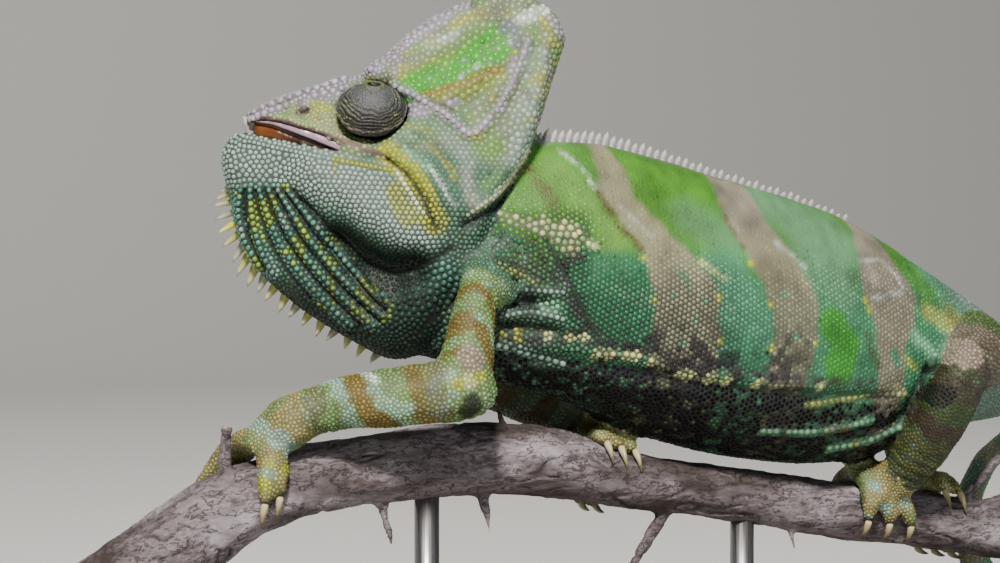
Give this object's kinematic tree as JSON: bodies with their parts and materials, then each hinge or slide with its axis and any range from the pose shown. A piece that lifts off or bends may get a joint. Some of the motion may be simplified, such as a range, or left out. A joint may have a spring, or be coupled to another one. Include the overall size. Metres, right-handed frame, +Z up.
{
  "type": "chameleon",
  "caption": "Life-size still model of an adult veiled chameleon with its mouth slightly open, gripping a cut length of thorny branch on a plain display stand.",
  "frame": {"origin": "centre of the stand's flat underside, on the surface it rests on", "axes": "+Z up; +X from the head end towards the tail end, along the longest extent; +Y to the animal's right, so its left side and the viewer's side are -Y"},
  "size_m": [0.2947, 0.112, 0.1658],
  "materials": {
    "skin": "scaly, satin",
    "eye": "fine-scaled lid with a glossy pupil",
    "claw": "smooth horn",
    "bark": "rough bark",
    "board": "dark stained, satin",
    "rod": "satin"
  },
  "bodies": {
    "root": {"belly": "skin", "casque": "skin", "chest": "skin", "head": "skin", "left_eye": "eye", "left_fore_claw_inner_1": "claw", "left_fore_claw_inner_2": "claw", "left_fore_claw_inner_3": "claw", "left_fore_claw_outer_1": "claw", "left_fore_claw_outer_2": "claw", "left_fore_foot": "skin", "left_fore_forearm": "skin", "left_fore_upper_arm": "skin", "left_hind_claw_inner_1": "claw", "left_hind_claw_inner_2": "claw", "left_hind_claw_outer_1": "claw", "left_hind_claw_outer_2": "claw", "left_hind_claw_outer_3": "claw", "left_hind_foot": "skin", "left_hind_shank": "skin", "left_hind_thigh": "skin", "neck": "skin", "pelvis": "skin", "perch": "bark", "right_eye": "eye", "right_fore_claw_inner_1": "claw", "right_fore_claw_inner_2": "claw", "right_fore_claw_inner_3": "claw", "right_fore_claw_outer_1": "claw", "right_fore_claw_outer_2": "claw", "right_fore_foot": "skin", "right_fore_forearm": "skin", "right_fore_upper_arm": "skin", "right_hind_claw_inner_1": "claw", "right_hind_claw_inner_2": "claw", "right_hind_claw_outer_1": "claw", "right_hind_claw_outer_2": "claw", "right_hind_claw_outer_3": "claw", "right_hind_foot": "skin", "right_hind_shank": "skin", "right_hind_thigh": "skin", "stand_base": "board", "stand_rod_1": "rod", "stand_rod_2": "rod", "tail_1": "skin", "tail_2": "skin", "tail_3": "skin", "tail_4": "skin", "tail_5": "skin", "throat": "skin"}
  },
  "joints": []
}
